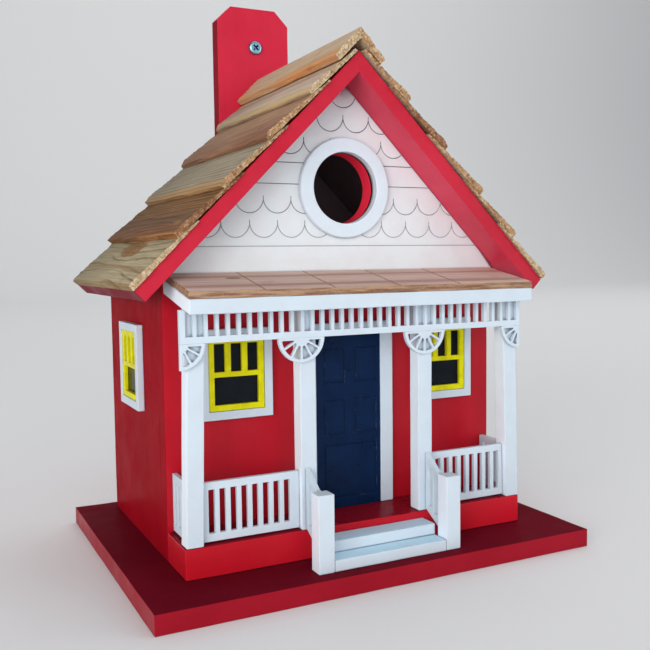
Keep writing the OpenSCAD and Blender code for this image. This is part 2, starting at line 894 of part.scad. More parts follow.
base_board();
porch_deck();
left_wall();
right_wall();
front_wall();
back_wall();
gable_panel();
entrance_ring();
roof_panel_left();
roof_panel_right();
for (course = [1:courses]) {
    shingle_left(course);
    shingle_right(course);
}
ridge_cap_left();
ridge_cap_right();
porch_roof_board();
porch_roof_slab();
frieze();
half_fans();
quarter_fans();
post_outer_left();
post_inner_left();
post_inner_right();
post_outer_right();
front_railing_left();
front_railing_right();
side_railing_left();
side_railing_right();
stair_rail_left();
stair_rail_right();
newel_left();
newel_right();
lower_step();
upper_step();
front_door();
door_casing();
casing_front_left();
casing_front_right();
casing_side_left();
casing_side_right();
sash_front_left();
sash_front_right();
sash_side_left();
sash_side_right();
window_panes();
mounting_board();
mounting_screw();
board_screws();
cleanout_door();
pivot_pins();
turn_button();
turn_button_screw();
door_stop();
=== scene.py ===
import json
import math

import bmesh
import bpy
import numpy as np
from mathutils import Matrix, Vector, noise


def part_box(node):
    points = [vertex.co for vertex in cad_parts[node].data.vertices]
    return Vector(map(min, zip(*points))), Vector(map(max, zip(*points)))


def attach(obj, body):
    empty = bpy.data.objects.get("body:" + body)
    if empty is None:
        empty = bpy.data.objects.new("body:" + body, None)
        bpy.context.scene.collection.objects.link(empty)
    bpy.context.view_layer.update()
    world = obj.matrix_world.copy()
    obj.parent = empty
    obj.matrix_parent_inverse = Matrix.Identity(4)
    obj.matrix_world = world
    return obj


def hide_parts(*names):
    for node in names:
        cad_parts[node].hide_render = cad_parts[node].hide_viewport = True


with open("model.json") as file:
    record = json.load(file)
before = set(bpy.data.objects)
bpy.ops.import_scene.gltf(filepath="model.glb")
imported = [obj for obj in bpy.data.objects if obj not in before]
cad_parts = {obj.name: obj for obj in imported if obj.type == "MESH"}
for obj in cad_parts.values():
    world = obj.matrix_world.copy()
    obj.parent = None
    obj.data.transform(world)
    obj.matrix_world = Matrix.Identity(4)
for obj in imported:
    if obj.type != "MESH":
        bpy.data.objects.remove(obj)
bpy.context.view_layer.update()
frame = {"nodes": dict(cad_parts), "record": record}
nodes = frame["nodes"]
MM = 0.001
WELD = 2e-6                          # vertices closer than this are one vertex
SHARP = math.radians(38)             # split wood keeps an edge where its faces turn more than this

# ---------------------------------------------------------------- camera, floor and light

scene = bpy.context.scene
scene.view_settings.view_transform = "Standard"


def make_camera():
    """Stands where the house shows its front and its left side, a little above the porch."""
    yaw, pitch, roll = math.radians(26.35), math.radians(4.30), math.radians(-0.70)
    forward = Vector((math.sin(yaw) * math.cos(pitch), math.cos(yaw) * math.cos(pitch), -math.sin(pitch)))
    right = Vector((math.cos(yaw), -math.sin(yaw), 0))
    up = right.cross(forward)
    right, up = (right * math.cos(roll) + up * math.sin(roll), up * math.cos(roll) - right * math.sin(roll))
    data = bpy.data.cameras.new("camera")
    data.lens, data.sensor_width = 47.11, 36
    data.shift_x, data.shift_y = 0.0038, -0.0039
    data.clip_start, data.clip_end = 0.01, 50
    camera = bpy.data.objects.new("camera", data)
    turn = Matrix((right, up, -forward)).transposed().to_4x4()
    camera.matrix_world = Matrix.Translation((-0.21004, -0.43366, 0.15873)) @ turn
    scene.collection.objects.link(camera)
    scene.camera = camera


def area_light(name, at, target, size, power, color):
    data = bpy.data.lights.new(name, "AREA")
    data.shape = "SQUARE"
    data.size = size
    data.energy, data.color = power, color
    light = bpy.data.objects.new(name, data)
    light.location = at
    light.rotation_euler = (Vector(target) - Vector(at)).to_track_quat("-Z", "Y").to_euler()
    scene.collection.objects.link(light)


def make_studio():
    world = bpy.data.worlds.new("studio")
    world.use_nodes = True
    world.node_tree.nodes["Background"].inputs["Color"].default_value = (0.88, 0.92, 0.97, 1)
    world.node_tree.nodes["Background"].inputs["Strength"].default_value = 0.36
    scene.world = world
    area_light("front_softbox", (-0.60, -1.75, 0.42), (0, 0, 0.15), 1.7, 16.5, (1.0, 0.985, 0.98))
    area_light("left_softbox", (-1.60, -1.15, 0.25), (-0.05, 0, 0.12), 1.1, 27, (1.0, 0.975, 0.97))
    area_light("right_softbox", (1.5, -1.1, 0.55), (0, 0, 0.15), 1.2, 7, (0.93, 0.97, 1.0))
    area_light("backdrop_light", (1.6, 1.2, 3.6), (1.6, 4.3, 0.6), 4.0, 70, (1.0, 1.0, 1.0))

    # A pale sweep: level floor that curves up into a wall far behind the object.
    bend_from, bend_radius, steps = 3.0, 1.5, 12
    profile = [(-4.0, 0.0), (bend_from, 0.0)]
    for i in range(1, steps + 1):
        a = math.pi / 2 * i / steps
        profile.append((bend_from + bend_radius * math.sin(a), bend_radius - bend_radius * math.cos(a)))
    profile.append((bend_from + bend_radius, 6.0))
    bm = bmesh.new()
    rows = [[bm.verts.new((x, y, z)) for y, z in profile] for x in (-8.0, 8.0)]
    for i in range(len(profile) - 1):
        bm.faces.new((rows[0][i], rows[0][i + 1], rows[1][i + 1], rows[1][i]))
    mesh = bpy.data.meshes.new("floor")
    bm.to_mesh(mesh)
    mesh.shade_smooth()
    floor = bpy.data.objects.new("floor", mesh)
    scene.collection.objects.link(floor)
    shade = Shade("floor_paper", (0.86, 0.86, 0.86), 0.8, specular=0.2)
    grain = shade.noise(shade.at, 350, 3)
    shade.bump(grain, 0.02, 0.0004)
    mesh.materials.append(shade.material)


# ---------------------------------------------------------------- materials

class Shade:
    """One procedural material, with short names for the nodes it is built from."""

    def __init__(self, name, color=(0.5, 0.5, 0.5), roughness=0.5, metallic=0.0, specular=0.5):
        self.material = bpy.data.materials.new(name)
        self.material.use_nodes = True
        self.tree = self.material.node_tree
        self.shader = self.tree.nodes["Principled BSDF"]
        self.shader.inputs["Base Color"].default_value = (*color, 1)
        self.shader.inputs["Roughness"].default_value = roughness
        self.shader.inputs["Metallic"].default_value = metallic
        self.shader.inputs["Specular IOR Level"].default_value = specular
        self.at = self.add("ShaderNodeTexCoord").outputs["Object"]
        self.last_bump = None

    def add(self, kind, **settings):
        node = self.tree.nodes.new(kind)
        for key, value in settings.items():
            setattr(node, key, value)
        return node

    def put(self, socket, value):
        if isinstance(value, bpy.types.NodeSocket):
            self.tree.links.new(value, socket)
        elif isinstance(value, (tuple, list)) and len(value) == 3 and socket.type == "RGBA":
            socket.default_value = (*value, 1)
        else:
            socket.default_value = value

    def scaled(self, vector, scale, move=(0, 0, 0)):
        node = self.add("ShaderNodeMapping")
        self.put(node.inputs["Vector"], vector)
        node.inputs["Scale"].default_value = scale
        node.inputs["Location"].default_value = move
        return node.outputs["Vector"]

    def noise(self, vector, scale, detail=2, rough=0.5, distortion=0.0):
        node = self.add("ShaderNodeTexNoise")
        self.put(node.inputs["Vector"], vector)
        node.inputs["Scale"].default_value = scale
        node.inputs["Detail"].default_value = detail
        node.inputs["Roughness"].default_value = rough
        node.inputs["Distortion"].default_value = distortion
        return node.outputs["Fac"]

    def spots(self, vector, scale):
        node = self.add("ShaderNodeTexVoronoi")
        self.put(node.inputs["Vector"], vector)
        node.inputs["Scale"].default_value = scale
        return node.outputs["Distance"]

    def math(self, operation, a, b=0.0):
        node = self.add("ShaderNodeMath", operation=operation)
        self.put(node.inputs[0], a)
        self.put(node.inputs[1], b)
        return node.outputs[0]

    def plus(self, a, b):
        return self.math("ADD", a, b)

    def minus(self, a, b):
        return self.math("SUBTRACT", a, b)

    def times(self, a, b):
        return self.math("MULTIPLY", a, b)

    def length(self, a, b):
        return self.math("SQRT", self.plus(self.times(a, a), self.times(b, b)))

    def ramp(self, value, low, high, out_low=0.0, out_high=1.0, smooth=True):
        node = self.add("ShaderNodeMapRange", clamp=True)
        node.interpolation_type = "SMOOTHSTEP" if smooth else "LINEAR"
        for key, v in (("Value", value), ("From Min", low), ("From Max", high), ("To Min", out_low),
                       ("To Max", out_high)):
            self.put(node.inputs[key], v)
        return node.outputs["Result"]

    def split(self, vector):
        node = self.add("ShaderNodeSeparateXYZ")
        self.put(node.inputs[0], vector)
        return node.outputs

    def mix(self, factor, a, b):
        node = self.add("ShaderNodeMix", data_type="RGBA")
        self.put(node.inputs[0], factor)
        self.put(node.inputs[6], a)
        self.put(node.inputs[7], b)
        return node.outputs[2]

    def bump(self, height, strength, distance):
        node = self.add("ShaderNodeBump")
        self.put(node.inputs["Height"], height)
        node.inputs["Strength"].default_value = strength
        node.inputs["Distance"].default_value = distance
        if self.last_bump is not None:
            self.put(node.inputs["Normal"], self.last_bump)
        self.last_bump = node.outputs["Normal"]
        self.put(self.shader.inputs["Normal"], self.last_bump)

    def color(self, value):
        self.put(self.shader.inputs["Base Color"], value)

    def roughness(self, value):
        self.put(self.shader.inputs["Roughness"], value)

    def crevices(self, distance, low, high):
        """1 deep in a narrow gap or inner corner, 0 on open faces."""
        shut = self.add("ShaderNodeAmbientOcclusion", samples=8)
        shut.inputs["Distance"].default_value = distance
        return self.ramp(shut.outputs["AO"], high, low)

    def edges(self, radius):
        """1 on an outer edge or corner within the radius, 0 on a flat face."""
        bevel = self.add("ShaderNodeBevel", samples=6)
        bevel.inputs["Radius"].default_value = radius
        flat = self.add("ShaderNodeNewGeometry")
        dot = self.add("ShaderNodeVectorMath", operation="DOT_PRODUCT")
        self.put(dot.inputs[0], bevel.outputs["Normal"])
        self.put(dot.inputs[1], flat.outputs["True Normal"])
        return self.ramp(dot.outputs["Value"], 0.995, 0.86)


def red_paint(name, grain_axis=2, gloss=0.34, lift=1.0, specular=0.18, chamber=False, pink=1.0):
    """Satin crimson house paint over sanded board: faint grain, brush marks and dimples.
    chamber gives the faces inside the nest chamber a dull greyish coat, and paints light onto the hole's bore
    as a much brighter red.
    lift scales the color, and pink its green and blue; together they make lit and shaded copies of the paint,
    which is painted light and shade."""
    shade = Shade(name, roughness=gloss, specular=specular)
    stretch = [700.0, 700.0, 700.0]
    stretch[grain_axis] = 24.0
    grain = shade.noise(shade.scaled(shade.at, stretch), 1.0, 4, 0.6, 0.3)
    stretch = [210.0, 210.0, 210.0]
    stretch[grain_axis] = 8.0
    brush = shade.noise(shade.scaled(shade.at, stretch), 1.0, 3, 0.6)
    cloud = shade.noise(shade.at, 16, 4, 0.55)
    low = (0.465 * lift, 0.0055 * pink, 0.0150 * pink)
    high = (0.560 * lift, 0.0080 * pink, 0.0210 * pink)
    brushed = (0.60 * lift, 0.011 * pink, 0.026 * pink)
    base = shade.mix(shade.ramp(cloud, 0.3, 0.7), low, high)
    base = shade.mix(shade.ramp(brush, 0.40, 0.75, 0.0, 0.22), base, brushed)
    base = shade.mix(shade.ramp(grain, 0.60, 0.80, 0.0, 0.22), base, (0.37 * lift, 0.004, 0.010))
    dent = shade.ramp(shade.spots(shade.at, 75), 0.050, 0.020)
    dent = shade.times(dent, shade.ramp(shade.noise(shade.at, 21, 2), 0.60, 0.66))
    base = shade.mix(shade.times(dent, 0.35), base, (0.30 * lift, 0.004, 0.010))
    if chamber:
        x, y, z = shade.split(shade.at)
        inside = shade.math("LESS_THAN", shade.math("ABSOLUTE", x), CHAMBER[0])
        inside = shade.times(inside, shade.math("GREATER_THAN", y, CHAMBER[1]))
        inside = shade.times(inside, shade.math("LESS_THAN", y, CHAMBER[2]))
        inside = shade.times(inside, shade.math("GREATER_THAN", z, CHAMBER[3]))
        base = shade.mix(inside, base, (0.27, 0.19, 0.21))
        # Painted light: the hole's bore gets a much brighter red than the rest of the paint.
        dx, dz = shade.minus(x, HOLE[0]), shade.minus(z, HOLE[1])
        away = shade.length(dx, dz)
        bore = shade.times(shade.math("LESS_THAN", away, HOLE[2]), shade.math("LESS_THAN", y, 0.0))
        base = shade.mix(bore, base, (0.86, 0.030, 0.070))
    # Painted shade: faces deep in cracks and inner corners are darkened towards near black.
    crevice_shade = shade.times(shade.crevices(1.6 * MM, 0.30, 0.62), 0.75)
    base = shade.mix(crevice_shade, base, (0.035, 0.004, 0.008))
    shade.color(base)
    shade.roughness(shade.ramp(shade.noise(shade.at, 60, 4, 0.6), 0.3, 0.75, gloss - 0.06, gloss + 0.12))
    shade.bump(grain, 0.20, 0.10 * MM)
    shade.bump(brush, 0.28, 0.18 * MM)
    shade.bump(dent, -0.5, 0.20 * MM)
    shade.bump(shade.noise(shade.at, 1300, 2), 0.08, 0.05 * MM)
    return shade.material


def scored_lines(shade, base, face_y, depth):
    """Darkens the bottom of the gable's scored lines with grime and painted shade; the painted shade is
    darker higher up, under the eave, and fainter lower down.
    """
    fade_from, fade_to = 0.163, 0.232
    _, y, z = shade.split(shade.at)
    deep = shade.ramp(y, face_y + 0.20 * depth, face_y + 0.70 * depth)
    height = shade.ramp(z, fade_from, fade_to, smooth=False)
    patchy = shade.ramp(shade.noise(shade.at, 60, 3), 0.35, 0.65, 0.8, 1.0)
    # Grime with painted shade: near black high up, where the eave shades the gable, pale grey lower down.
    dirt_and_shade = shade.mix(height, (0.30, 0.33, 0.38), (0.045, 0.060, 0.080))
    faint = shade.ramp(height, 0.0, 0.30, 0.35, 1.0)
    return shade.mix(shade.times(deep, shade.times(patchy, faint)), base, dirt_and_shade)


def white_paint(name, grain_axis=2, tint=(0.600, 0.700, 0.775), roughness=0.42, scored=None):
    """Bluish-white paint with soft brush marks, faintly lilac patches and rare grey flecks, and painted shade
    deep in cracks and inner corners.
    scored is the front face's place along Y and the depth of the lines that are cut into it."""
    shade = Shade(name, roughness=roughness, specular=0.30)
    stretch = [420.0, 420.0, 420.0]
    stretch[grain_axis] = 14.0
    brush = shade.noise(shade.scaled(shade.at, stretch), 1.0, 4, 0.6)
    cloud = shade.noise(shade.at, 70, 4, 0.6)
    warm = tuple(c * k for c, k in zip(tint, (0.97, 0.92, 0.93)))
    base = shade.mix(shade.ramp(cloud, 0.35, 0.75, 0.0, 0.75), tint, warm)
    base = shade.mix(shade.ramp(brush, 0.55, 0.85, 0.0, 0.25), base, tuple(c * 0.88 for c in tint))
    fleck = shade.ramp(shade.spots(shade.at, 420), 0.075, 0.03)
    rare = shade.ramp(shade.noise(shade.at, 110, 2), 0.63, 0.70)
    fleck = shade.times(fleck, rare)
    base = shade.mix(shade.times(fleck, 0.45), base, (0.34, 0.33, 0.36))
    # Painted shade: faces deep in cracks and inner corners are darkened towards blue-grey.
    crevice_shade = shade.times(shade.crevices(2.2 * MM, 0.30, 0.74), 0.80)
    base = shade.mix(crevice_shade, base, (0.20, 0.22, 0.28))
    if scored:
        base = scored_lines(shade, base, *scored)
    shade.color(base)
    shade.roughness(shade.ramp(cloud, 0.3, 0.7, roughness - 0.06, roughness + 0.12))
    shade.bump(brush, 0.35, 0.12 * MM)
    shade.bump(shade.noise(shade.at, 900, 2), 0.14, 0.06 * MM)
    return shade.material


def yellow_paint(name):
    """Thick lemon paint with soft brush marks."""
    shade = Shade(name, roughness=0.38, specular=0.12)
    brush = shade.noise(shade.scaled(shade.at, (300, 300, 60)), 1.0, 3, 0.6)
    cloud = shade.noise(shade.at, 160, 3)
    base = shade.mix(shade.ramp(cloud, 0.3, 0.7), (0.66, 0.61, 0.003), (0.80, 0.77, 0.006))
    base = shade.mix(shade.ramp(brush, 0.55, 0.8, 0.0, 0.3), base, (0.52, 0.45, 0.003))
    shade.color(base)
    shade.roughness(shade.ramp(cloud, 0.3, 0.7, 0.30, 0.46))
    shade.bump(brush, 0.3, 0.12 * MM)
    shade.bump(shade.noise(shade.at, 1200, 2), 0.15, 0.05 * MM)
    return shade.material


def navy_paint(name, face_y, depth):
    """Dark blue door paint: painted shade at the bottom of its routed lines, pale marks here and there on
    their edges that are partly wear and dust and partly painted highlight, and a little dust."""
    shade = Shade(name, roughness=0.34, specular=0.10)
    cloud = shade.noise(shade.at, 60, 4, 0.6)
    brush = shade.noise(shade.scaled(shade.at, (420, 420, 24)), 1.0, 3, 0.6)
    base = shade.mix(shade.ramp(cloud, 0.3, 0.7), (0.0012, 0.0115, 0.046), (0.0028, 0.0180, 0.066))
    base = shade.mix(shade.ramp(brush, 0.5, 0.8, 0.0, 0.35), base, (0.006, 0.027, 0.086))
    # Painted shade at the bottom of the routed lines.
    deep = shade.ramp(shade.split(shade.at)[1], face_y + 0.2 * depth, face_y + 0.7 * depth)
    base = shade.mix(shade.times(deep, 0.35), base, (0.0030, 0.010, 0.036))
    # Pale marks on the edges: partly wear and dust, partly painted highlight.
    here_and_there = shade.ramp(shade.noise(shade.at, 210, 4, 0.8), 0.52, 0.66)
    rim = shade.times(shade.edges(0.45 * MM), here_and_there)
    base = shade.mix(shade.times(rim, 0.80), base, (0.15, 0.23, 0.36))
    dust = shade.times(shade.ramp(shade.spots(shade.at, 300), 0.12, 0.05),
                      shade.ramp(shade.noise(shade.at, 70, 2), 0.58, 0.66))
    base = shade.mix(shade.times(dust, 0.4), base, (0.07, 0.12, 0.21))
    shade.color(base)
    shade.roughness(shade.ramp(cloud, 0.3, 0.7, 0.26, 0.44))
    shade.bump(brush, 0.3, 0.14 * MM)
    shade.bump(shade.noise(shade.at, 1100, 2), 0.15, 0.06 * MM)
    return shade.material


def pane_paint(name):
    """Nearly black gloss paint with a little dust, for the painted window panes."""
    shade = Shade(name, roughness=0.14, specular=0.10)
    cloud = shade.noise(shade.at, 90, 3)
    base = shade.mix(shade.ramp(cloud, 0.3, 0.7), (0.0045, 0.0065, 0.0095), (0.0075, 0.0105, 0.0150))
    dust = shade.times(shade.ramp(shade.spots(shade.at, 420), 0.10, 0.04),
                      shade.ramp(shade.noise(shade.at, 100, 2), 0.58, 0.66))
    base = shade.mix(shade.times(dust, 0.6), base, (0.14, 0.16, 0.18))
    shade.color(base)
    shade.roughness(shade.ramp(cloud, 0.3, 0.7, 0.08, 0.22))
    shade.bump(shade.noise(shade.at, 260, 2), 0.10, 0.08 * MM)
    return shade.material


def wood(name, light, dark, bands=(), rings=330.0, wave=1.0, knots=(), move=(0, 0, 0), dark_share=0.5,
         late_from=0.35, far_end_shade=0.0):
    """Split cedar: growth rings that run along X, fine fibre, bands of heartwood and knots. Y runs across
    the board and Z through it. A band is its color, its middle and its half width across the board, and a
    knot is its place along and across the board and its half width.
    move shifts the grain, so that no two boards are alike. The last argument sets how much darker the board
    gets towards its far end, at the back of the roof: painted shade."""
    shade = Shade(name, roughness=0.72, specular=0.18)
    fibre_share = 0.40
    at_x, at_y, _ = shade.split(shade.at)
    place = shade.scaled(shade.at, (1, 1, 1), move)
    _, place_y, place_z = shade.split(place)
    slow = (5.5, 34.0, 34.0)
    bend = shade.noise(shade.scaled(place, slow), 1.0, 2, 0.45)
    offset = shade.times(shade.minus(bend, 0.5), 0.020 * wave)
    radial = shade.plus(shade.plus(place_y, offset), shade.times(place_z, 0.55))
    knot_mask = None
    for x, y, size in knots:
        dx = shade.times(shade.minus(at_x, x), 0.30)
        dy = shade.minus(at_y, y)
        ragged = shade.times(shade.minus(shade.noise(shade.at, 150, 2), 0.5), 0.6 * size)
        away = shade.plus(shade.length(dx, dy), ragged)
        push = shade.ramp(away, 0.2 * size, 3.2 * size, 1.0, 0.0)
        radial = shade.plus(radial, shade.times(push, 1.5 * size))
        mask = shade.ramp(away, 1.15 * size, 0.85 * size)
        knot_mask = mask if knot_mask is None else shade.math("MAXIMUM", knot_mask, mask)
    phase = shade.math("FRACT", shade.times(radial, rings))
    late = shade.times(shade.ramp(phase, late_from, 0.93), shade.ramp(phase, 1.0, 0.95))
    patch = shade.noise(shade.scaled(place, slow), 1.7, 3, 0.55)
    late = shade.times(late, shade.ramp(patch, 0.30, 0.65, 0.25, 1.0))
    fibres = shade.noise(shade.scaled(place, (26.0, 1500.0, 1500.0)), 1.0, 3, 0.6)
    base = shade.mix(shade.times(late, dark_share), light, dark)
    dark_fibre = shade.ramp(fibres, 0.45, 0.75, 0.0, fibre_share)
    base = shade.mix(dark_fibre, base, tuple(c * 0.62 for c in dark))
    light_fibre = shade.ramp(fibres, 0.52, 0.28, 0.0, fibre_share)
    base = shade.mix(light_fibre, base, tuple(min(1, c * 1.22) for c in light))
    for color, centre, width in bands:
        line = shade.plus(at_y, shade.times(offset, min(0.6, 150 * width)))
        away = shade.math("ABSOLUTE", shade.minus(line, centre))
        fading = shade.ramp(patch, 0.25, 0.50, 0.45, 1.0)
        near = shade.times(shade.ramp(away, width, 0.5 * width), fading)
        banded = shade.mix(shade.times(late, 0.6), color, dark)
        base = shade.mix(shade.times(near, 0.80), base, banded)
    if knot_mask is not None:
        grainy = shade.ramp(shade.noise(shade.at, 700, 3), 0.3, 0.7)
        core = shade.mix(grainy, (0.17, 0.075, 0.022), (0.32, 0.16, 0.050))
        base = shade.mix(shade.times(knot_mask, 0.92), base, core)
    # Painted shade: darker towards the board's far end, at the back of the roof.
    far = shade.ramp(at_x, 0.045, 0.125, 0.0, far_end_shade)
    base = shade.mix(far, base, tuple(c * 0.4 for c in light))
    stain = shade.noise(shade.at, 46, 4, 0.65)
    base = shade.mix(shade.ramp(stain, 0.58, 0.80, 0.0, 0.38), base, tuple(c * 0.55 for c in dark))
    shade.color(base)
    shade.roughness(shade.ramp(fibres, 0.3, 0.7, 0.60, 0.86))
    shade.bump(fibres, 0.45, 0.22 * MM)
    shade.bump(late, 0.30, 0.18 * MM)
    return shade.material


def screw_metal(name, tint, recess=None):
    """Plated steel. recess is the centre of the cross in the head, where shadow and dirt collect."""
    shade = Shade(name, tint, 0.30, metallic=1.0)
    cloud = shade.noise(shade.at, 420, 4, 0.6)
    scratch = shade.noise(shade.scaled(shade.at, (4000, 4000, 260)), 1.0, 2)
    base = shade.mix(shade.ramp(cloud, 0.35, 0.7), tint, tuple(c * 0.80 for c in tint))
    if recess:
        x, y, z = shade.split(shade.at)
        dx, dz = shade.minus(x, recess.x), shade.minus(z, recess.z)
        away = shade.length(dx, dz)
        deep = shade.ramp(y, recess.y + 0.15 * MM, recess.y + 0.45 * MM)
        deep = shade.times(deep, shade.math("LESS_THAN", y, recess.y + 4 * MM))
        deep = shade.times(deep, shade.ramp(away, 2.6 * MM, 2.3 * MM))
        deep = shade.times(deep, shade.ramp(away, 0.35 * MM, 0.60 * MM))
        base = shade.mix(deep, base, (0.012, 0.020, 0.035))
    shade.color(base)
    shade.roughness(shade.ramp(cloud, 0.3, 0.7, 0.24, 0.42))
    shade.bump(scratch, 0.2, 0.05 * MM)
    return shade.material


# ---------------------------------------------------------------- meshes

def wobble(points, size, amount, seed):
    """Smooth offsets along X, Y and Z for an array of points, the same on each run."""
    out = np.empty_like(points)
    for i, p in enumerate(points):
        at = Vector((p[0] / size + seed, p[1] / size, p[2] / size))
        out[i] = [noise.noise(at + Vector((0, 0, 31.7 * axis))) for axis in range(3)]
    return out * amount


def inside_box(points, node):
    """Holds an array of points within the node's own box."""
    low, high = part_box(node)
    return np.clip(points, np.array(low), np.array(high))


def stand_for(piece, node):
    """Puts a piece in a node's place: on the node's body, with the node hidden."""
    record = frame["record"]
    body = next(b for b, members in record["behaviour"]["bodies"].items() if node in members)
    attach(piece, body)
    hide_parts(node)


def finish_mesh(node, mesh, materials, weighted=True):
    """Makes the mesh the painted piece that stands for the node."""
    piece = bpy.data.objects.new("painted_" + node, mesh)
    scene.collection.objects.link(piece)
    mesh.materials.clear()
    for material in materials:
        mesh.materials.append(material)
    mesh.shade_smooth()
    if weighted:
        modifier = piece.modifiers.new("weighted", "WEIGHTED_NORMAL")
        modifier.keep_sharp = True
    stand_for(piece, node)


def clean_copy(node):
    """The CAD node's shape as a welded bmesh with its flat faces merged."""
    bm = bmesh.new()
    bm.from_mesh(nodes[node].data)
    bmesh.ops.remove_doubles(bm, verts=bm.verts, dist=WELD)
    bmesh.ops.dissolve_limit(bm, angle_limit=math.radians(0.6), verts=bm.verts, edges=bm.edges,
                             use_dissolve_boundaries=False)
    return bm


def cut_grid(bm, step):
    """Cuts the mesh with planes square to each axis, so it can be moved a little everywhere."""
    points = np.array([v.co for v in bm.verts])
    low, high = points.min(0), points.max(0)
    for axis in range(3):
        count = int((high[axis] - low[axis]) / step[axis])
        normal = [0, 0, 0]
        normal[axis] = 1
        for i in range(1, count + 1):
            at = [0, 0, 0]
            at[axis] = low[axis] + (high[axis] - low[axis]) * i / (count + 1)
            everything = bm.verts[:] + bm.edges[:] + bm.faces[:]
            bmesh.ops.bisect_plane(bm, geom=everything, plane_co=at, plane_no=normal, dist=1e-7)


def faces_up(normal):
    return normal.z > 0.9


def faces_left(normal):
    return normal.x < -0.9


def carve(node, material, edge, step, wave, seed, second=None, where=faces_up):
    """Stands for a painted board: the CAD shape with rounded arrises that wander a little. edge and wave are
    in millimetres, and so is step, the size of the grid that the faces are cut into.
    second is another material, for the faces whose normal passes the test."""
    bm = clean_copy(node)
    sharp = [e for e in bm.edges if len(e.link_faces) == 2 and e.calc_face_angle(0) > math.radians(25)]
    bmesh.ops.bevel(bm, geom=sharp, offset=edge * MM, segments=3, profile=0.5, affect="EDGES",
                    clamp_overlap=True)
    cut_grid(bm, [s * MM for s in step])
    bmesh.ops.triangulate(bm, faces=[f for f in bm.faces if len(f.verts) > 4])
    points = np.array([v.co for v in bm.verts])
    short_wave, long_wave = 16 * MM, 55 * MM
    points += wobble(points, short_wave, wave * MM, seed) + wobble(points, long_wave, wave * MM, seed + 9)
    for v, p in zip(bm.verts, inside_box(points, node)):
        v.co = p
    mesh = bpy.data.meshes.new(node + "_piece")
    bm.to_mesh(mesh)
    bm.free()
    finish_mesh(node, mesh, [material, second] if second else [material])
    for face in mesh.polygons:
        face.material_index = 1 if second and where(face.normal) else 0


def soften(node, material, voxel, wave, seed):
    """Stands for a small sawn piece under thick paint: every edge rounded and every inner corner filled.
    voxel and wave are in millimetres."""
    bm = bmesh.new()
    bm.from_mesh(nodes[node].data)
    bmesh.ops.remove_doubles(bm, verts=bm.verts, dist=WELD)
    mesh = bpy.data.meshes.new("raw")
    bm.to_mesh(mesh)
    bm.free()
    work = bpy.data.objects.new("work", mesh)
    scene.collection.objects.link(work)
    remesh = work.modifiers.new("remesh", "REMESH")
    remesh.mode, remesh.voxel_size, remesh.adaptivity = "VOXEL", voxel * MM, 0.0
    smooth = work.modifiers.new("smooth", "SMOOTH")
    smooth.factor, smooth.iterations = 0.5, 1
    result = bpy.data.meshes.new_from_object(work.evaluated_get(bpy.context.evaluated_depsgraph_get()))
    bpy.data.objects.remove(work)
    points = np.empty(len(result.vertices) * 3)
    result.vertices.foreach_get("co", points)
    points = points.reshape(-1, 3)
    points = inside_box(points + wobble(points, 7 * MM, wave * MM, seed), node)
    result.vertices.foreach_set("co", points.ravel())
    result.update()
    finish_mesh(node, result, [material], weighted=False)


def keep(node, material, edge):
    """Keeps the CAD node, with a small rounding of its sharp edges, in millimetres."""
    piece = nodes[node]
    piece.data.materials.clear()
    piece.data.materials.append(material)
    weld = piece.modifiers.new("weld", "WELD")
    weld.merge_threshold = WELD
    if edge:
        bevel = piece.modifiers.new("bevel", "BEVEL")
        bevel.width, bevel.segments, bevel.limit_method = edge * MM, 2, "ANGLE"
        bevel.angle_limit = math.radians(35)
        bevel.harden_normals = False
    weighted = piece.modifiers.new("weighted", "WEIGHTED_NORMAL")
    weighted.keep_sharp = True
    piece.data.shade_smooth()


def fractal(x, y, seed, octaves):
    return noise.fractal(Vector((x, y, seed)), 1.0, 2.0, octaves, noise_basis="PERLIN_ORIGINAL") * 0.5


